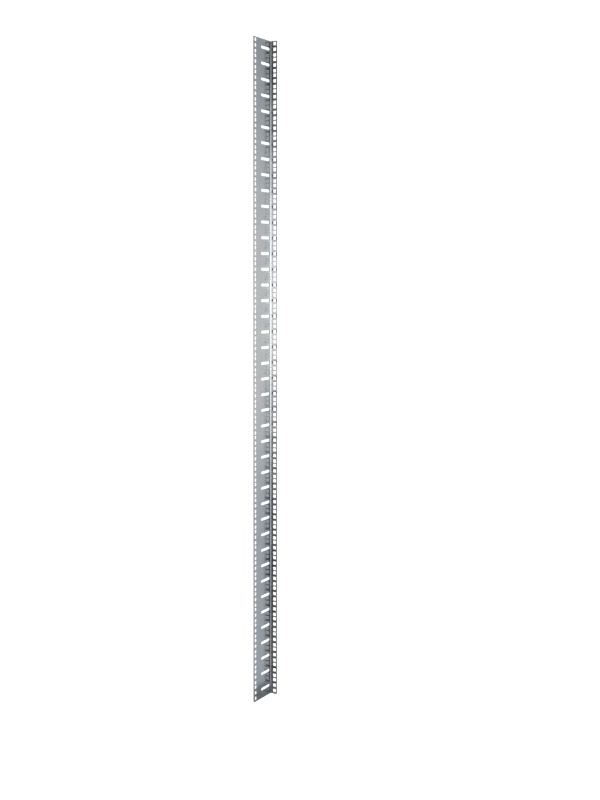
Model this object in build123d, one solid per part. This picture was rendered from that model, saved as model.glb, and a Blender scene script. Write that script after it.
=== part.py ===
from build123d import *
import os

# A 42-unit rack mounting rail: one length of galvanised steel sheet, punched flat
# and folded once into an unequal angle.
# The rail lies on the outer face of its wide web, with the narrow flange standing up.
# X runs along the rail towards its upper end, Y runs across the web towards its free edge
# and Z points up, away from the floor.
# The origin is the middle of the rail's outline on the floor.

# Sheet and fold, in millimetres
sheet_thickness = 2.0
inner_bend_radius = 2.0
web_width = 89.0
flange_width = 22.0
end_corner_radius = 2.5

# Pattern along the rail: three square holes in each rack unit, spaced about its middle
rack_units = 42
hole_spacing = 15.875
spacing_across_units = 12.7
unit_pitch = 2 * hole_spacing + spacing_across_units
lower_end_margin = 3.0
upper_end_margin = 1.5

# Square holes for cage nuts, in the flange and along the web's free edge
square_hole_side = 9.5
flange_hole_to_edge = 8.0
web_hole_to_edge = 10.0

# Crosswise slots, and a small hole level with the upper square holes of each unit,
# round on the real rail and drawn here with a few flat sides
slot_length = 44.5
slot_width = 8.4
slot_centre_to_fold = 29.5
small_hole_diameter = 3.0
small_hole_sides = 10

# Places worked out from the sizes above
outer_bend_radius = inner_bend_radius + sheet_thickness
rail_length = lower_end_margin + rack_units * unit_pitch + upper_end_margin
lower_end_x = -rail_length / 2
free_edge_y = web_width / 2
fold_y = -web_width / 2
first_unit_middle_x = lower_end_x + lower_end_margin + unit_pitch / 2
unit_middles = [first_unit_middle_x + unit * unit_pitch for unit in range(rack_units)]
hole_row_x = [middle + side * hole_spacing for middle in unit_middles for side in (-1, 0, 1)]
web_hole_y = free_edge_y - web_hole_to_edge
flange_hole_z = flange_width - flange_hole_to_edge
slot_y = fold_y + slot_centre_to_fold
punch_overrun = sheet_thickness
punch_stroke = sheet_thickness + 2 * punch_overrun


def folded_angle():
    """The angle's section: its outer face with the bend, thickened inwards, run along X."""
    with BuildPart() as angle:
        with BuildSketch(Plane.YZ.offset(lower_end_x)):
            with BuildLine():
                outer_face = FilletPolyline(
                    (free_edge_y, 0),
                    (fold_y, 0),
                    (fold_y, flange_width),
                    radius=outer_bend_radius,
                )
                offset(outer_face, amount=sheet_thickness, side=Side.RIGHT)
            make_face()
        extrude(amount=rail_length)
    return angle.part


def round_free_corners(angle):
    """The two free corners at each end of the rail, rounded as they are sheared."""
    web_corners = angle.edges().filter_by(Axis.Z).group_by(Axis.Y)[-1]
    flange_corners = angle.edges().filter_by(Axis.Y).group_by(Axis.Z)[-1]
    return fillet(web_corners + flange_corners, end_corner_radius)


def web_punches():
    """Cutters that pass through the web: edge holes, crosswise slots and small holes."""
    with BuildPart() as punches:
        with BuildSketch(Plane.XY.offset(-punch_overrun)):
            with Locations([(x, web_hole_y) for x in hole_row_x]):
                Rectangle(square_hole_side, square_hole_side)
            with Locations([(x, slot_y) for x in unit_middles]):
                SlotOverall(slot_length, slot_width, rotation=90)
            with Locations([(x + hole_spacing, slot_y) for x in unit_middles]):
                RegularPolygon(small_hole_diameter / 2, small_hole_sides)
        extrude(amount=punch_stroke)
    return punches.part


def flange_punches():
    """Cutters that pass through the flange: its row of square holes."""
    with BuildPart() as punches:
        with BuildSketch(Plane.XZ.offset(-fold_y + punch_overrun)):
            with Locations([(x, flange_hole_z) for x in hole_row_x]):
                Rectangle(square_hole_side, square_hole_side)
        extrude(amount=-punch_stroke)
    return punches.part


def mounting_rail():
    """The finished rail: the folded angle, its corners rounded and its holes punched."""
    angle = round_free_corners(folded_angle())
    rail = angle - web_punches() - flange_punches()
    rail.label = "mounting_rail"
    return rail


os.makedirs("parts", exist_ok=True)
rail = mounting_rail()
export_step(rail, "parts/mounting_rail.step")
print("size", rail.bounding_box().size, "mm")
print("volume", round(rail.volume), "cubic mm")
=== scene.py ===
# %% [markdown]
# # A rack mounting rail in galvanised steel
#
# This lesson dresses one mounting rail of an equipment rack and photographs it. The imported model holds
# the rail at its real size, so it is loaded first and never moved. Every length here is in metres. X runs
# along the rail towards its upper end, Y runs across its wide web towards the free edge, and Z is up.

# %% Load the frame
import math

import bpy
from mathutils import Matrix, Vector


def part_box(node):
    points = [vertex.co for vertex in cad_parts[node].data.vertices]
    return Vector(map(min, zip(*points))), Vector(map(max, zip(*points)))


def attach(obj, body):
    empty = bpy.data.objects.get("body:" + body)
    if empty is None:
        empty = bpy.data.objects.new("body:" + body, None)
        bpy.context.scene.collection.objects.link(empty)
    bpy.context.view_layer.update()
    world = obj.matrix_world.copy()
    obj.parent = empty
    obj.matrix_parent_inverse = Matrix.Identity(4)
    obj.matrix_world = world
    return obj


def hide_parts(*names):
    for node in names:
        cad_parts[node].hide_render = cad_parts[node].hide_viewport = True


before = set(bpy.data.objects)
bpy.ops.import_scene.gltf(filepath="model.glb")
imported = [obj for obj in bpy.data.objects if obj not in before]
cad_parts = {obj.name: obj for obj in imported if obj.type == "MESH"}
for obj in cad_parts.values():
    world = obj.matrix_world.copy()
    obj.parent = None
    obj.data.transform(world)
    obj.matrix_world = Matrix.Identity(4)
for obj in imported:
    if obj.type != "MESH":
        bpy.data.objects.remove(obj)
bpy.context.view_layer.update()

mm = 0.001
rail_low, rail_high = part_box("mounting_rail")
rail_length, web_width, flange_width = rail_high - rail_low
print("rail", [round(side / mm, 1) for side in (rail_length, web_width, flange_width)], "mm")

# %% [markdown]
# ## Camera
#
# The photograph stands the rail up. Here it lies on its web, so the camera looks down on it from the side
# of the free edge and is turned until the rail's length runs up the image. The picture is tall, so the
# sensor's 36 mm lie along its long side. The camera is made first, because every later choice of size
# and light is judged through it.

# %% Camera
image_height = 800
axis_row_in_image = 315.7
view_elevation = math.radians(31.9)
view_distance = 3.3126
view_pitch = math.radians(-2.093)
view_roll = math.radians(0.066)
aim_point = Vector((0.2734, -0.2030, 0.0))

camera_data = bpy.data.cameras.new("camera")
camera_data.lens = 50.0
camera_data.sensor_width = 36.0
camera_data.sensor_fit = "AUTO"
camera_data.shift_y = (axis_row_in_image - image_height / 2) / image_height
camera_data.clip_end = 100.0
camera = bpy.data.objects.new("camera", camera_data)
bpy.context.scene.collection.objects.link(camera)

back = Vector((0.0, math.cos(view_elevation), math.sin(view_elevation)))
image_up = Vector((1.0, 0.0, 0.0))
image_right = image_up.cross(back)
upright = Matrix((image_right, image_up, back)).transposed()
leaning = Matrix.Rotation(view_pitch, 3, "X") @ Matrix.Rotation(view_roll, 3, "Z")
camera_place = aim_point + back * view_distance
camera.matrix_world = Matrix.Translation(camera_place) @ (upright @ leaning).to_4x4()
bpy.context.scene.camera = camera
print("camera at", [round(value, 3) for value in camera_place])

# %% [markdown]
# ## The rail's sizes
#
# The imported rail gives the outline. The rest repeats the sizes of its drawing: rack holes come three to a
# unit of 44.45 mm, and each unit also has one crosswise slot and one small hole. The real holes are
# punched, so their corners are a little round and their edges are broken, and that is what this finer
# model adds.

# %% Sizes
sheet_thickness = 2.0 * mm
inner_bend_radius = 2.0 * mm
outer_bend_radius = inner_bend_radius + sheet_thickness
end_corner_radius = 2.5 * mm
rack_units = 42
hole_spacing = 15.875 * mm
spacing_across_units = 12.7 * mm
unit_pitch = 2 * hole_spacing + spacing_across_units
upper_end_margin = 1.5 * mm
square_hole_side = 9.5 * mm
web_hole_to_edge = 10.0 * mm
flange_hole_to_edge = 8.0 * mm
slot_length = 44.5 * mm
slot_width = 8.4 * mm
slot_centre_to_fold = 29.5 * mm
small_hole_diameter = 3.0 * mm

free_edge_y = rail_high.y
fold_y = rail_low.y
web_hole_y = free_edge_y - web_hole_to_edge
flange_hole_z = flange_width - flange_hole_to_edge
slot_y = fold_y + slot_centre_to_fold
lower_end_margin = rail_length - rack_units * unit_pitch - upper_end_margin
first_unit_middle_x = rail_low.x + lower_end_margin + unit_pitch / 2
print("margin below unit 1", round(lower_end_margin / mm, 2), "mm")

# %% [markdown]
# ## Picking faces and edges
#
# An operator in edit mode acts on whatever is selected, so each step starts by clearing the selection and
# picking what it needs. A rule about an element's place or direction does that more surely than its
# number, which changes with every cut.

# %% Select by a rule
near_enough = 0.01 * mm


def edit_only(piece, kind):
    """Select one piece alone, with none of its faces, edges or vertices selected."""
    bpy.ops.object.select_all(action="DESELECT")
    piece.select_set(True)
    bpy.context.view_layer.objects.active = piece
    bpy.ops.object.mode_set(mode="EDIT")
    bpy.ops.mesh.select_mode(type=kind)
    bpy.ops.mesh.select_all(action="DESELECT")
    bpy.ops.object.mode_set(mode="OBJECT")


def select_where(piece, kind, rule):
    """Select the faces or edges of a piece that a rule picks, and leave it in edit mode."""
    edit_only(piece, kind)
    elements = piece.data.polygons if kind == "FACE" else piece.data.edges
    picked = 0
    for element in elements:
        element.select = rule(element)
        picked += element.select
    bpy.ops.object.mode_set(mode="EDIT")
    return picked


def corners_of(piece, element):
    """The places of an edge's or a face's vertices."""
    return [piece.data.vertices[index].co for index in element.vertices]


def all_near(places, axis, value):
    """Whether every place has this value along an axis, or nearly."""
    return all(abs(place[axis] - value) < near_enough for place in places)


print("places within", round(near_enough / mm, 2), "mm count as one")

# %% [markdown]
# ## One unit of folded sheet
#
# The press brake folds a flat strip, and the strip keeps its thickness all the way round. The same can be
# drawn by starting at the sheared free edge: a small upright rectangle, as long as one unit, is extruded
# across the web, spun through the bend and extruded up the flange. Ten steps round the bend leave nine
# degrees in each, which smooth shading hides.

# %% Fold one unit
right_angle = math.radians(90)
bend_steps = 10
bend_axis_y = fold_y + outer_bend_radius

bpy.ops.object.select_all(action="DESELECT")
bpy.ops.mesh.primitive_plane_add(size=1.0, rotation=(right_angle, 0, 0))
rail = bpy.context.object
rail.name = "galvanised_rail"
rail.location = (0, free_edge_y, sheet_thickness / 2)
rail.scale = (unit_pitch, sheet_thickness, 1)
bpy.ops.object.transform_apply(location=True, rotation=True, scale=True)

bpy.ops.object.mode_set(mode="EDIT")
bpy.ops.mesh.select_all(action="SELECT")
across_web = bend_axis_y - free_edge_y
bpy.ops.mesh.extrude_region_move(TRANSFORM_OT_translate={"value": (0, across_web, 0)})
bpy.ops.mesh.spin(
    steps=bend_steps, angle=right_angle,
    center=(0, bend_axis_y, outer_bend_radius), axis=(1, 0, 0))
up_flange = flange_width - outer_bend_radius
bpy.ops.mesh.extrude_region_move(TRANSFORM_OT_translate={"value": (0, 0, up_flange)})
bpy.ops.mesh.select_all(action="SELECT")
bpy.ops.mesh.remove_doubles(threshold=0.001 * mm)
bpy.ops.mesh.normals_make_consistent(inside=False)
bpy.ops.object.mode_set(mode="OBJECT")
print("one folded unit has", len(rail.data.polygons), "faces")

# %% [markdown]
# ## Punching the unit
#
# A punch press makes every opening, so the holes are cut here with punches too. Each punch is a block
# whose upright edges are bevelled: a little for the corners of a square punch, and by half the width for
# the round ends of the slot punch. A Boolean modifier takes them all away at once. One unit is punched
# and the rest are copied from it, which keeps forty-two units alike.

# %% Shape a punch
punch_reach = 12 * mm


def stands_upright(piece, edge):
    """Whether an edge runs straight up a punch."""
    start, end = corners_of(piece, edge)
    return abs(start.z - end.z) > 0.5 * punch_reach


def punch_block(name, place, width, depth, corner_radius, corner_steps):
    """An upright block at a place, with its four upright edges rounded."""
    bpy.ops.object.select_all(action="DESELECT")
    bpy.ops.mesh.primitive_cube_add(size=1.0, location=place)
    block = bpy.context.object
    block.name = name
    block.scale = (width, depth, punch_reach)
    bpy.ops.object.transform_apply(location=True, rotation=True, scale=True)
    select_where(block, "EDGE", lambda edge: stands_upright(block, edge))
    bpy.ops.mesh.bevel(offset=corner_radius, segments=corner_steps, affect="EDGES")
    bpy.ops.object.mode_set(mode="OBJECT")
    return block


def turned_to_flange(block, x_place):
    """A copy of a square punch, laid over to pass through the flange."""
    edit_only(block, "VERT")
    bpy.ops.object.duplicate(linked=False)
    copy = bpy.context.object
    bpy.ops.object.mode_set(mode="EDIT")
    bpy.ops.mesh.select_all(action="SELECT")
    middle = Vector((x_place, web_hole_y, 0))
    bpy.ops.transform.rotate(value=right_angle, orient_axis="X", center_override=middle)
    move = Vector((x_place, fold_y, flange_hole_z)) - middle
    bpy.ops.transform.translate(value=move)
    bpy.ops.object.mode_set(mode="OBJECT")
    return copy


print("punches reach", round(punch_reach / mm), "mm")

# %% Make the punches
hole_corner_radius = 0.5 * mm
hole_corner_steps = 2
# A hair under half the width, so that the two roundings of a slot's end stay apart
slot_corner_radius = 0.499 * slot_width
slot_corner_steps = 8
small_hole_sides = 12

punches = []
for x_place in (-hole_spacing, 0, hole_spacing):
    square = punch_block(
        "square_punch", (x_place, web_hole_y, 0), square_hole_side, square_hole_side,
        hole_corner_radius, hole_corner_steps)
    punches.append(square)
    punches.append(turned_to_flange(square, x_place))
punches.append(punch_block(
    "slot_punch", (0, slot_y, 0), slot_width, slot_length, slot_corner_radius, slot_corner_steps))
bpy.ops.object.select_all(action="DESELECT")
bpy.ops.mesh.primitive_cylinder_add(
    vertices=small_hole_sides, radius=small_hole_diameter / 2, depth=punch_reach,
    location=(hole_spacing, slot_y, 0))
bpy.ops.object.transform_apply(location=True, rotation=True, scale=True)
punches.append(bpy.context.object)
print(len(punches), "punches")

# %% Punch the unit
def apply_modifier(piece, kind, **settings):
    """Add one modifier with its settings and apply it."""
    bpy.ops.object.select_all(action="DESELECT")
    piece.select_set(True)
    bpy.context.view_layer.objects.active = piece
    modifier = piece.modifiers.new(kind.lower(), kind)
    for name, value in settings.items():
        setattr(modifier, name, value)
    bpy.ops.object.modifier_apply(modifier=modifier.name)


bpy.ops.object.select_all(action="DESELECT")
for punch in punches:
    punch.select_set(True)
bpy.context.view_layer.objects.active = punches[0]
bpy.ops.object.join()
tool = bpy.context.object
apply_modifier(rail, "BOOLEAN", operation="DIFFERENCE", solver="EXACT", object=tool)
bpy.data.objects.remove(tool)
print("the punched unit has", len(rail.data.polygons), "faces")

# %% [markdown]
# ## Forty-two units in one length
#
# The unit's two cut faces are taken off so that copies join into one skin. An Array modifier sets the
# copies a rack unit apart and merges the rings of vertices where they meet. Each end runs on for a few
# millimetres past the pattern, where the shear cut the sheet, and then both open ends get a face.

# %% Join the units
half_unit = unit_pitch / 2
select_where(rail, "FACE", lambda face: (
    all_near(corners_of(rail, face), 0, half_unit) or all_near(corners_of(rail, face), 0, -half_unit)))
bpy.ops.mesh.delete(type="FACE")
bpy.ops.mesh.select_all(action="SELECT")
bpy.ops.transform.translate(value=(first_unit_middle_x, 0, 0))
bpy.ops.object.mode_set(mode="OBJECT")
apply_modifier(
    rail, "ARRAY", count=rack_units, use_relative_offset=False, use_constant_offset=True,
    constant_offset_displace=(unit_pitch, 0, 0), use_merge_vertices=True, merge_threshold=near_enough)
print("the forty-two units have", len(rail.data.polygons), "faces")

# %% Run on to the two ends
pattern_ends = {
    rail_low.x + lower_end_margin: -lower_end_margin,
    rail_high.x - upper_end_margin: upper_end_margin,
}
for pattern_end, run_on in pattern_ends.items():
    select_where(rail, "EDGE", lambda edge: all_near(corners_of(rail, edge), 0, pattern_end))
    bpy.ops.mesh.extrude_region_move(TRANSFORM_OT_translate={"value": (run_on, 0, 0)})
    bpy.ops.mesh.edge_face_add()
    bpy.ops.object.mode_set(mode="OBJECT")
print("the joined rail has", len(rail.data.polygons), "faces")

# %% [markdown]
# ## Rounded corners and broken edges
#
# The shear leaves the four free corners rounded. A punched edge is never knife-sharp: the punch rolls it
# over on one side and the zinc smears over it. A narrow bevel gives every sheared edge the thin line of
# light that the photograph shows round the openings. Weighted normals keep the big faces flat beside it.

# %% Round the free corners
end_corner_steps = 6


def is_free_corner(edge):
    """Whether an edge is one of the rail's four outer corners, seen along the sheet's thickness."""
    ends = corners_of(rail, edge)
    at_an_end = all_near(ends, 0, rail_low.x) or all_near(ends, 0, rail_high.x)
    return at_an_end and (all_near(ends, 1, free_edge_y) or all_near(ends, 2, flange_width))


picked = select_where(rail, "EDGE", is_free_corner)
bpy.ops.mesh.bevel(offset=end_corner_radius, segments=end_corner_steps, affect="EDGES")
bpy.ops.mesh.select_all(action="SELECT")
bpy.ops.mesh.normals_make_consistent(inside=False)
bpy.ops.object.mode_set(mode="OBJECT")
print(picked, "free corners rounded")

# %% Break the edges and smooth the bend
edge_break = 0.2 * mm
sharpest_smooth_angle = math.radians(40)

apply_modifier(
    rail, "BEVEL", width=edge_break, segments=1, limit_method="ANGLE",
    angle_limit=sharpest_smooth_angle)
bpy.ops.object.shade_smooth()
apply_modifier(rail, "WEIGHTED_NORMAL", mode="FACE_AREA", weight=100, keep_sharp=True)
rail.data.calc_loop_triangles()
print("finished rail:", len(rail.data.loop_triangles), "triangles")

# %% [markdown]
# ## Which faces are sheared
#
# A punch leaves two kinds of wall: next to the side that it enters, a burnished band, and below it a
# dull, torn one. The walls get a material slot of their own, and an attribute called sheet_depth runs
# from 0 at the outer face of the sheet to 1 at its inner face, wherever the sheet turns.

# %% Measure the depth in the sheet
def sheet_depth(place):
    """How far a place lies through the sheet, from 0 at its outer face to 1 at its inner face."""
    if place.y > bend_axis_y:
        depth = place.z
    elif place.z > outer_bend_radius:
        depth = place.y - fold_y
    else:
        depth = outer_bend_radius - math.dist((place.y, place.z), (bend_axis_y, outer_bend_radius))
    return min(max(depth / sheet_thickness, 0.0), 1.0)


depths = rail.data.attributes.new("sheet_depth", "FLOAT", "POINT")
for vertex, depth in zip(rail.data.vertices, depths.data):
    depth.value = sheet_depth(vertex.co)

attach(rail, "root")
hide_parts("mounting_rail")
print(len(depths.data), "vertices know their depth in the sheet")

# %% [markdown]
# ## Colours and nodes
#
# Hex codes are how a colour is usually written down, but they are coded for a screen, and a shader
# reckons in linear light. One function turns the one into the other. A second one adds a node, sets it
# and links it, so that each pattern below reads as a short list of nodes.

# %% Colours and nodes
def linear_colour(hex_code):
    """An sRGB hex colour as the linear values that a shader socket takes."""
    channels = [int(hex_code[place:place + 2], 16) / 255 for place in (1, 3, 5)]
    linear = [c / 12.92 if c <= 0.04045 else ((c + 0.055) / 1.055) ** 2.4 for c in channels]
    return (*linear, 1.0)


def add_node(tree, kind, settings=None, values=None, links=None):
    """Add a node, set its properties and its sockets, and link its inputs."""
    node = tree.nodes.new(kind)
    for name, value in (settings or {}).items():
        setattr(node, name, value)
    for name, value in (values or {}).items():
        node.inputs[name].default_value = value
    for name, source in (links or {}).items():
        tree.links.new(source, node.inputs[name])
    return node


def two_tones(ramp, dark, light, start=0.0, end=1.0):
    """Give a colour ramp its two colours, each at its place along the ramp."""
    for element, hex_code, position in zip(ramp.color_ramp.elements, (dark, light), (start, end)):
        element.color = linear_colour(hex_code)
        element.position = position


print("zinc's light grey in linear light:", [round(c, 3) for c in linear_colour("#D0D0CF")[:3]])

# %% [markdown]
# ## Hot-dip zinc
#
# The sheet is hot-dip galvanised: it runs through molten zinc, which freezes on it into a skin of flat
# crystals called spangle, a few millimetres wide. New zinc is a light, slightly blue grey metal that
# mirrors softly. The eye sees three things on it: crystals that differ a little in tone, broad cloudy
# patches where the skin began to dull, and fine lines along the rail from the rolls that flatten it.
# Voronoi cells are a good stand-in for crystals, and noise gives the clouds and the lines.

# %% Patterns of the zinc
spangle_width = 5 * mm
cloud_width = 70 * mm
wave_width = 60 * mm
# The real roll lines are under a tenth of a millimetre apart, and are drawn coarser here so that they show
roll_line_width = 0.5 * mm
roll_line_length = 75 * mm

zinc = bpy.data.materials.new("galvanised_zinc")
zinc.use_nodes = True
tree = zinc.node_tree
place = add_node(tree, "ShaderNodeTexCoord").outputs["Object"]
crystals = add_node(tree, "ShaderNodeTexVoronoi", {}, {"Scale": 1 / spangle_width}, {"Vector": place})
crystal_tone = add_node(
    tree, "ShaderNodeSeparateColor", {}, {}, {"Color": crystals.outputs["Color"]}).outputs["Red"]
clouds = add_node(
    tree, "ShaderNodeTexNoise", {}, {"Scale": 1 / cloud_width}, {"Vector": place}).outputs["Fac"]
waves = add_node(
    tree, "ShaderNodeTexNoise", {}, {"Scale": 1 / wave_width, "Detail": 1.0},
    {"Vector": place}).outputs["Fac"]
drawn_out = add_node(
    tree, "ShaderNodeMapping", {}, {"Scale": (roll_line_width / roll_line_length, 1, 1)},
    {"Vector": place}).outputs["Vector"]
roll_lines = add_node(
    tree, "ShaderNodeTexNoise", {}, {"Scale": 1 / roll_line_width}, {"Vector": drawn_out}).outputs["Fac"]
print(len(tree.nodes), "nodes so far in the zinc")

# %% [markdown]
# Clouds make up most of the mottling in tone, and crystals the rest. Both also change the gloss a little.
# The roll lines scatter light more across the rail than along it, which a shader calls anisotropic. It
# blurs the flange's mirror image in the web, more so the farther the image lies from the fold.

# %% Colour and gloss of the zinc
cloud_share = 0.75
cloud_low, cloud_high = 0.35, 0.65
bright_roughness, dull_roughness = 0.14, 0.18
crystal_roughness = 0.03
# A whole turn is 1, and a quarter turn from the roll lines puts the wider scatter across them
line_anisotropy = 0.83
quarter_turn = 0.25

surface = tree.nodes["Principled BSDF"]
surface.inputs["Metallic"].default_value = 1.0
cloud_tone = add_node(
    tree, "ShaderNodeMath", {"operation": "MULTIPLY"}, {1: cloud_share}, {0: clouds}).outputs[0]
mottling = add_node(
    tree, "ShaderNodeMath", {"operation": "MULTIPLY_ADD"}, {1: 1 - cloud_share},
    {0: crystal_tone, 2: cloud_tone}).outputs[0]
tint = add_node(tree, "ShaderNodeValToRGB", {}, {}, {"Fac": mottling})
two_tones(tint, "#C2C7CB", "#D0D0CF", start=0.3, end=0.7)
tree.links.new(tint.outputs["Color"], surface.inputs["Base Color"])

cloud_gloss = add_node(
    tree, "ShaderNodeMapRange", {},
    {"From Min": cloud_low, "From Max": cloud_high,
     "To Min": bright_roughness, "To Max": dull_roughness}, {"Value": clouds}).outputs[0]
roughness = add_node(
    tree, "ShaderNodeMath", {"operation": "MULTIPLY_ADD"}, {1: crystal_roughness},
    {0: crystal_tone, 2: cloud_gloss}).outputs[0]
tree.links.new(roughness, surface.inputs["Roughness"])

surface.inputs["Anisotropic"].default_value = line_anisotropy
surface.inputs["Anisotropic Rotation"].default_value = quarter_turn
# The tangent's socket takes no value of its own, so a node gives it the rail's direction
along_rail = add_node(tree, "ShaderNodeCombineXYZ", {}, {"X": 1.0}).outputs["Vector"]
tree.links.new(along_rail, surface.inputs["Tangent"])
print(len(tree.nodes), "nodes so far in the zinc")

# %% [markdown]
# The relief is slight. The crystals stand out from one another by microns and the roll lines by less, and
# the sheet itself waves by a tenth of a millimetre, which breaks up the long reflections. A bump node
# tilts the light for all three and leaves the mesh as flat as it is.

# %% Relief of the zinc
# Heights are in millimetres, and the bump's distance turns them into metres
crystal_height = 0.006
line_height = 0.002
wave_height = 0.1

crystal_relief = add_node(
    tree, "ShaderNodeMath", {"operation": "MULTIPLY"}, {1: crystal_height},
    {0: crystals.outputs["Distance"]}).outputs[0]
line_relief = add_node(
    tree, "ShaderNodeMath", {"operation": "MULTIPLY_ADD"}, {1: line_height},
    {0: roll_lines, 2: crystal_relief}).outputs[0]
relief = add_node(
    tree, "ShaderNodeMath", {"operation": "MULTIPLY_ADD"}, {1: wave_height},
    {0: waves, 2: line_relief}).outputs[0]
bump = add_node(tree, "ShaderNodeBump", {}, {"Strength": 1.0, "Distance": mm}, {"Height": relief})
tree.links.new(bump.outputs["Normal"], surface.inputs["Normal"])
print(len(tree.nodes), "nodes in the zinc")

# %% [markdown]
# ## Sheared steel
#
# The sheet was coated before it was punched, so every wall through it is bare mild steel, darker than the
# zinc. The punch polishes the first part of the wall to a dull shine and tears the rest into a rough, dark
# grain. The sheet_depth attribute tells the two apart, and the walls are picked by the way they face.

# %% Sheared steel
# The punch enters at the inner face, where sheet_depth is 1. The torn grain is about a tenth of a
# millimetre on the real wall
burnished_down_to = 0.7
torn_below = 0.55
fracture_grain = 0.1 * mm
fracture_height = 0.03 * mm
fracture_strength = 0.6
burnished_roughness = 0.32
torn_roughness = 0.6

sheared = bpy.data.materials.new("sheared_steel")
sheared.use_nodes = True
tree = sheared.node_tree
surface = tree.nodes["Principled BSDF"]
surface.inputs["Metallic"].default_value = 1.0
depth = add_node(tree, "ShaderNodeAttribute", {"attribute_name": "sheet_depth"}).outputs["Fac"]
torn = add_node(
    tree, "ShaderNodeMapRange", {}, {"From Min": burnished_down_to, "From Max": torn_below},
    {"Value": depth}).outputs[0]
tint = add_node(tree, "ShaderNodeValToRGB", {}, {}, {"Fac": torn})
two_tones(tint, "#A2A4A6", "#77797B")
tree.links.new(tint.outputs["Color"], surface.inputs["Base Color"])
roughness = add_node(
    tree, "ShaderNodeMapRange", {}, {"To Min": burnished_roughness, "To Max": torn_roughness},
    {"Value": torn}).outputs[0]
tree.links.new(roughness, surface.inputs["Roughness"])
place = add_node(tree, "ShaderNodeTexCoord").outputs["Object"]
grain = add_node(
    tree, "ShaderNodeTexNoise", {}, {"Scale": 1 / fracture_grain}, {"Vector": place}).outputs["Fac"]
height = add_node(
    tree, "ShaderNodeMath", {"operation": "MULTIPLY"}, {}, {0: grain, 1: torn}).outputs[0]
bump = add_node(
    tree, "ShaderNodeBump", {}, {"Strength": fracture_strength, "Distance": fracture_height},
    {"Height": height})
tree.links.new(bump.outputs["Normal"], surface.inputs["Normal"])
print(len(tree.nodes), "nodes in the sheared steel")

# %% Dress the rail
facing_along = 0.9
edge_on = 0.3


def is_sheared(face):
    """Whether a face is a wall through the sheet, such as a hole's side or an end."""
    if abs(face.normal.x) > facing_along:
        return True
    if face.center.y > bend_axis_y:
        return abs(face.normal.z) < edge_on
    return face.center.z > outer_bend_radius and abs(face.normal.y) < edge_on


rail.data.materials.clear()
rail.data.materials.append(zinc)
rail.data.materials.append(sheared)
sheared_count = select_where(rail, "FACE", is_sheared)
rail.active_material_index = 1
bpy.ops.object.material_slot_assign()
bpy.ops.object.mode_set(mode="OBJECT")
print(sheared_count, "sheared faces")

# %% [markdown]
# ## Floor
#
# The rail lies on a plain pale floor that the camera sees as white paper. A strength of 1 is white, so
# the camera sees the lit paper and a glow that fills it up to white, while the soft shadow under the
# metal stays. Reflections get most of that glow, so the metal shows that it lies on something pale. Only
# the paper under the slots gives them none, and for reflections alone its colour is painted dark grey
# there: painted shade of the fold, which the photograph shows mirrored dark in the foot of the flange.

# %% Floor
floor_side = 24.0
matt_roughness = 0.9

bpy.ops.object.select_all(action="DESELECT")
bpy.ops.mesh.primitive_plane_add(size=floor_side, location=(0, 0, 0))
floor = bpy.context.object
floor.name = "floor"
paper = bpy.data.materials.new("floor_paper")
paper.use_nodes = True
tree = paper.node_tree
matt = tree.nodes["Principled BSDF"]
matt.inputs["Roughness"].default_value = matt_roughness
matt.inputs["Emission Color"].default_value = (1, 1, 1, 1)
floor.data.materials.append(paper)
print("floor", [round(side, 1) for side in floor.dimensions[:2]], "m")

# %% Shade and glow of the paper
shade_half_width = 0.3 * web_width
shade_edge = 2 * mm
shade_middle_y = fold_y + shade_half_width
shade_end = shade_half_width + shade_edge
camera_glow = 0.8
mirrored_glow = 0.6
paper_grey = linear_colour("#C8C8C8")[0]
# The grey of the painted shade that reflections see on the paper under the slots; the camera still sees it
# white
painted_shade_grey = linear_colour("#505050")[0]

path = add_node(tree, "ShaderNodeLightPath")
place = add_node(tree, "ShaderNodeTexCoord").outputs["Object"]
axes = add_node(tree, "ShaderNodeSeparateXYZ", {}, {}, {0: place})
from_shade = add_node(
    tree, "ShaderNodeMath", {"operation": "SUBTRACT"}, {1: shade_middle_y}, {0: axes.outputs["Y"]}).outputs[0]
from_shade = add_node(tree, "ShaderNodeMath", {"operation": "ABSOLUTE"}, {}, {0: from_shade}).outputs[0]
paper_glow = add_node(
    tree, "ShaderNodeMapRange", {},
    {"From Min": shade_half_width, "From Max": shade_end, "To Max": mirrored_glow},
    {"Value": from_shade}).outputs[0]
# Painted shade: for reflections only, the paper under the slots turns from its own grey to the painted shade
# grey
mirrored_grey = add_node(
    tree, "ShaderNodeMapRange", {},
    {"From Min": shade_half_width, "From Max": shade_end, "To Min": painted_shade_grey, "To Max": paper_grey},
    {"Value": from_shade}).outputs[0]
grey = add_node(
    tree, "ShaderNodeMapRange", {}, {"To Min": paper_grey},
    {"Value": path.outputs["Is Glossy Ray"], "To Max": mirrored_grey}).outputs[0]
tree.links.new(grey, matt.inputs["Base Color"])
mirrored = add_node(
    tree, "ShaderNodeMath", {"operation": "MULTIPLY"}, {},
    {0: path.outputs["Is Glossy Ray"], 1: paper_glow}).outputs[0]
glow = add_node(
    tree, "ShaderNodeMath", {"operation": "MULTIPLY_ADD"}, {1: camera_glow},
    {0: path.outputs["Is Camera Ray"], 2: mirrored}).outputs[0]
tree.links.new(glow, matt.inputs["Emission Strength"])
print("paper shaded over", round(2 * shade_half_width / mm, 1), "mm of the web")

# %% [markdown]
# ## Studio light
#
# Bare metal has no colour of its own to speak of: it shows what stands round it. So the light is drawn as
# a room and not as spots. It depends on direction alone, where x points along the rail, y towards the
# camera's side and z up. Behind the flange is a wall of soft daylight, which the flat web mirrors. It is
# brightest near the middle of the rail, and falls off faster towards the lower end.

# %% Window wall
window_middle_x = -0.057
lower_side_speed = 1.6
window_reach = 0.33
window_peak = 0.82
wall_at_lower_end, wall_at_upper_end = 0.62, 0.47
rail_ends_x = 0.2
wall_starts_y, wall_full_y = 0.1, -0.6

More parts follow.
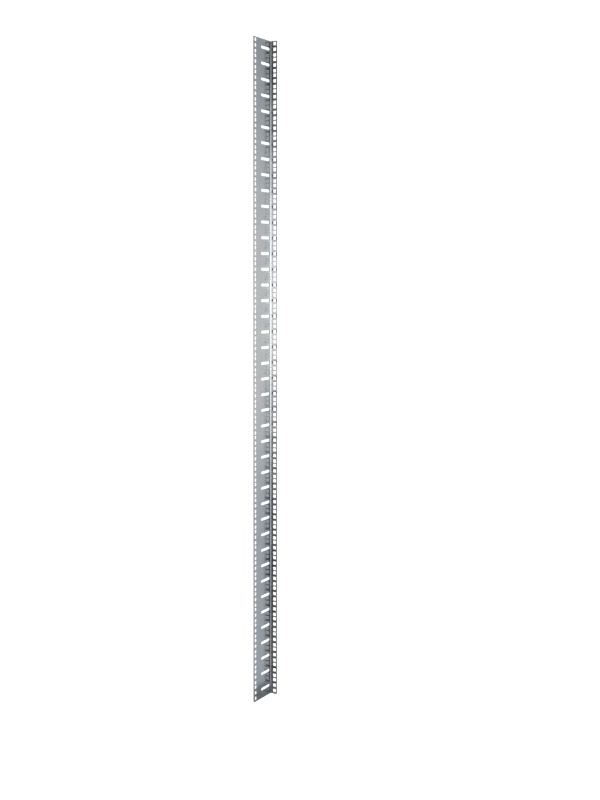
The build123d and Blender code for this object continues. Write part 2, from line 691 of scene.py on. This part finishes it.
world = bpy.data.worlds.new("studio")
bpy.context.scene.world = world
world.use_nodes = True
tree = world.node_tree
direction = add_node(tree, "ShaderNodeTexCoord").outputs["Generated"]
axes = add_node(tree, "ShaderNodeSeparateXYZ", {}, {}, {0: direction})
to_the_end, to_the_front, upwards = (axes.outputs[name] for name in "XYZ")
above_window = add_node(
    tree, "ShaderNodeMath", {"operation": "ADD"}, {1: -window_middle_x}, {0: to_the_end}).outputs[0]
below_window = add_node(
    tree, "ShaderNodeMath", {"operation": "MULTIPLY"}, {1: -lower_side_speed},
    {0: above_window}).outputs[0]
off_window = add_node(
    tree, "ShaderNodeMath", {"operation": "MAXIMUM"}, {}, {0: above_window, 1: below_window}).outputs[0]

wall_level = add_node(
    tree, "ShaderNodeMapRange", {},
    {"From Min": -rail_ends_x, "From Max": rail_ends_x,
     "To Min": wall_at_lower_end, "To Max": wall_at_upper_end}, {"Value": to_the_end}).outputs[0]
window_level = add_node(
    tree, "ShaderNodeMapRange", {"interpolation_type": "SMOOTHSTEP"},
    {"From Max": window_reach, "To Min": window_peak},
    {"Value": off_window, "To Max": wall_level}).outputs[0]
window_wall = add_node(
    tree, "ShaderNodeMapRange", {"interpolation_type": "SMOOTHSTEP"},
    {"From Min": wall_starts_y, "From Max": wall_full_y},
    {"Value": to_the_front, "To Max": window_level}).outputs[0]
print(len(tree.nodes), "nodes so far in the room")

# %% [markdown]
# A lit band runs from the front over the ceiling, level with the rail's middle, and gives the fold its
# long highlight. The fold mirrors all of it and the flange only the part in front, so the band is
# stronger and wider high up. Straight overhead it dims again, or the web would turn white when it is seen
# from above.

# %% Lit band
front_z, ceiling_z = 0.55, 0.95
lean_at_front, lean_at_ceiling = 0.012, 0.025
half_width_at_front, half_width_at_ceiling = 0.165, 0.285
band_in_front, band_high_up, band_overhead = 1.45, 5.6, 0.8
rise_starts_z, rise_ends_z = 0.66, 0.84
overhead_starts_z, overhead_full_z = 0.92, 0.98

lean = add_node(
    tree, "ShaderNodeMapRange", {},
    {"From Min": front_z, "From Max": ceiling_z, "To Min": lean_at_front, "To Max": lean_at_ceiling},
    {"Value": upwards}).outputs[0]
off_band = add_node(
    tree, "ShaderNodeMath", {"operation": "ADD"}, {}, {0: to_the_end, 1: lean}).outputs[0]
off_band = add_node(tree, "ShaderNodeMath", {"operation": "ABSOLUTE"}, {}, {0: off_band}).outputs[0]
upper_level = add_node(
    tree, "ShaderNodeMapRange", {"interpolation_type": "SMOOTHSTEP"},
    {"From Min": overhead_starts_z, "From Max": overhead_full_z,
     "To Min": band_high_up, "To Max": band_overhead}, {"Value": upwards}).outputs[0]
band_level = add_node(
    tree, "ShaderNodeMapRange", {"interpolation_type": "SMOOTHSTEP"},
    {"From Min": rise_starts_z, "From Max": rise_ends_z, "To Min": band_in_front},
    {"Value": upwards, "To Max": upper_level}).outputs[0]
band_half_width = add_node(
    tree, "ShaderNodeMapRange", {},
    {"From Min": front_z, "From Max": ceiling_z,
     "To Min": half_width_at_front, "To Max": half_width_at_ceiling}, {"Value": upwards}).outputs[0]
print(len(tree.nodes), "nodes so far in the room")

# %% [markdown]
# The rest of the room is dim, and dimmest in front, which leaves the flange and the foot of the web dark
# towards both ends, as in the photograph. It is lighter towards the lower end than towards the upper one.

# %% Dim room round the band
room_low_x, room_high_x = -0.25, 0.2
front_at_lower_end, front_at_upper_end = 0.06, 0.0
ceiling_at_lower_end, ceiling_at_upper_end = 1.25, 0.62
room_dim_z, room_lit_z = 0.64, 0.97
band_core = 0.02
room_starts_y, room_full_y = -0.35, -0.05

low_room = add_node(
    tree, "ShaderNodeMapRange", {},
    {"From Min": room_low_x, "From Max": room_high_x,
     "To Min": front_at_lower_end, "To Max": front_at_upper_end}, {"Value": to_the_end}).outputs[0]
high_room = add_node(
    tree, "ShaderNodeMapRange", {},
    {"From Min": room_low_x, "From Max": room_high_x,
     "To Min": ceiling_at_lower_end, "To Max": ceiling_at_upper_end}, {"Value": to_the_end}).outputs[0]
room_level = add_node(
    tree, "ShaderNodeMapRange", {"interpolation_type": "SMOOTHSTEP"},
    {"From Min": room_dim_z, "From Max": room_lit_z},
    {"Value": upwards, "To Min": low_room, "To Max": high_room}).outputs[0]
ceiling = add_node(
    tree, "ShaderNodeMapRange", {"interpolation_type": "SMOOTHSTEP"}, {"From Min": band_core},
    {"Value": off_band, "From Max": band_half_width, "To Min": band_level, "To Max": room_level}).outputs[0]
front_and_top = add_node(
    tree, "ShaderNodeMapRange", {"interpolation_type": "SMOOTHSTEP"},
    {"From Min": room_starts_y, "From Max": room_full_y},
    {"Value": to_the_front, "To Max": ceiling}).outputs[0]
print(len(tree.nodes), "nodes so far in the room")

# %% [markdown]
# The photograph shows nothing of the side walls, nor of the front wall low down. They are drawn pale, so
# that the metal looks like zinc from the other sides too. The camera's own rays see white, as they do on
# the floor, and a strength of 1 more than the light makes sure of it. Away from the window's middle the
# light turns a little bluer.

# %% Pale walls and a white background
pale_wall = 0.5
side_starts_x, side_full_x = 0.35, 0.6
low_starts_z, low_full_z = 0.34, 0.18

off_middle = add_node(
    tree, "ShaderNodeMath", {"operation": "ABSOLUTE"}, {}, {0: to_the_end}).outputs[0]
side_walls = add_node(
    tree, "ShaderNodeMapRange", {"interpolation_type": "SMOOTHSTEP"},
    {"From Min": side_starts_x, "From Max": side_full_x, "To Max": pale_wall},
    {"Value": off_middle}).outputs[0]
low_walls = add_node(
    tree, "ShaderNodeMapRange", {"interpolation_type": "SMOOTHSTEP"},
    {"From Min": low_starts_z, "From Max": low_full_z, "To Max": pale_wall},
    {"Value": upwards}).outputs[0]
walls = add_node(
    tree, "ShaderNodeMath", {"operation": "MAXIMUM"}, {}, {0: side_walls, 1: low_walls}).outputs[0]
lit_room = add_node(
    tree, "ShaderNodeMath", {"operation": "ADD"}, {}, {0: window_wall, 1: front_and_top}).outputs[0]
light = add_node(
    tree, "ShaderNodeMath", {"operation": "MAXIMUM"}, {}, {0: walls, 1: lit_room}).outputs[0]
seen_by_camera = add_node(tree, "ShaderNodeLightPath").outputs["Is Camera Ray"]
level = add_node(
    tree, "ShaderNodeMath", {"operation": "ADD"}, {}, {0: light, 1: seen_by_camera}).outputs[0]

daylight = add_node(tree, "ShaderNodeValToRGB", {}, {}, {"Fac": off_window})
two_tones(daylight, "#FFFFFF", "#ECF4FB", start=0.08, end=0.26)
sky = tree.nodes["Background"]
tree.links.new(daylight.outputs["Color"], sky.inputs["Color"])
tree.links.new(level, sky.inputs["Strength"])
print(len(tree.nodes), "nodes in the room")

# %% [markdown]
# ## Grey card for a painted reflection
#
# In the photograph the last unit at the lower end is darker than the rest, with a straight border across
# the web. Here that darker band is a painted reflection: a grey card stands just past the end, and only
# reflections see it.

# %% Grey card
card_gap = 5 * mm
card_height = 75 * mm
card_length = 400 * mm

bpy.ops.object.select_all(action="DESELECT")
bpy.ops.mesh.primitive_plane_add(
    size=1.0, rotation=(0, right_angle, 0),
    location=(rail_low.x - card_gap, free_edge_y - card_length / 2, card_height / 2))
card = bpy.context.object
card.name = "painted_reflection_card"
card.scale = (card_height, card_length, 1)
# Only reflections see the card, a painted dark reflection at the lower end: it casts no shadow and lights
# nothing
card.visible_camera = False
card.visible_diffuse = False
card.visible_shadow = False
cardboard = bpy.data.materials.new("painted_reflection_cardboard")
cardboard.use_nodes = True
matt = cardboard.node_tree.nodes["Principled BSDF"]
matt.inputs["Base Color"].default_value = linear_colour("#BABEC2")
matt.inputs["Roughness"].default_value = matt_roughness
card.data.materials.append(cardboard)
print("card", round(card_length / mm), "by", round(card_height / mm), "mm")

# %% [markdown]
# ## Softbox
#
# One large lamp overhead lights the floor and the insides of the holes evenly. The metal doesn't mirror
# it, because the room already draws what the metal shows.

# %% Softbox
softbox_side = 7.0
softbox_place = (0, -1.0, 5.0)
softbox_radiance = 0.35

softbox_light = bpy.data.lights.new("overhead_softbox", "AREA")
softbox_light.shape = "SQUARE"
softbox_light.size = softbox_side
softbox_light.energy = softbox_radiance * math.pi * softbox_side ** 2
softbox = bpy.data.objects.new("overhead_softbox", softbox_light)
softbox.location = softbox_place
softbox.visible_glossy = False
bpy.context.scene.collection.objects.link(softbox)
bpy.context.scene.view_settings.view_transform = "Standard"
print("softbox of", round(softbox_light.energy), "watts")
